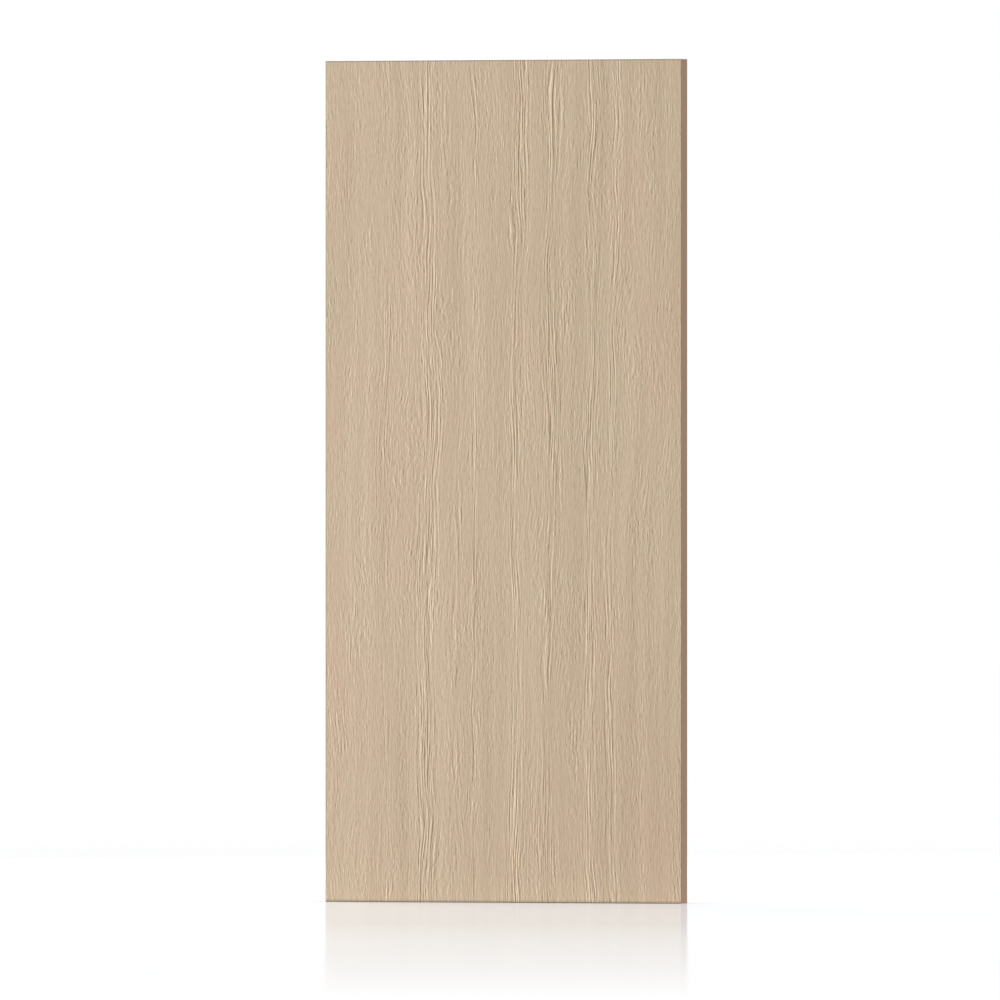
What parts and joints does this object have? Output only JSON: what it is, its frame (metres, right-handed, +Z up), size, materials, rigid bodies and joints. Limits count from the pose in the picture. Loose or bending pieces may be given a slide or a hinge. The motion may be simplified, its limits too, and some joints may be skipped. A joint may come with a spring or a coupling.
{
  "type": "flush interior door slab",
  "caption": "Flush interior door leaf: wood-grain laminate over fibreboard skins, a softwood frame and a tubular chipboard core, banded long edges, not yet bored for lock or hinges.",
  "frame": {"origin": "middle of the bottom edge, which the slab stands on", "axes": "+X to the right seen from the front, -Y towards the viewer, +Z up along the slab's height"},
  "size_m": [0.9, 0.04, 2],
  "materials": {
    "laminate": "matt wood-grain laminate with pores pressed into it",
    "edge_band": "smooth satin band, browner than the faces",
    "fibreboard": "sawn fibreboard",
    "frame_timber": "planed softwood",
    "lock_block": "sawn fibreboard",
    "core_chipboard": "extruded chipboard"
  },
  "bodies": {
    "root": {"front_laminate": "laminate", "back_laminate": "laminate", "front_skin": "fibreboard", "back_skin": "fibreboard", "left_edge_band": "edge_band", "right_edge_band": "edge_band", "left_stile": "frame_timber", "right_stile": "frame_timber", "top_rail_left": "frame_timber", "top_rail_middle": "frame_timber", "top_rail_right": "frame_timber", "bottom_rail_left": "frame_timber", "bottom_rail_middle": "frame_timber", "bottom_rail_right": "frame_timber", "left_lock_block": "lock_block", "right_lock_block": "lock_block", "core_plank_1": "core_chipboard", "core_plank_2": "core_chipboard", "core_plank_3": "core_chipboard"}
  },
  "joints": []
}
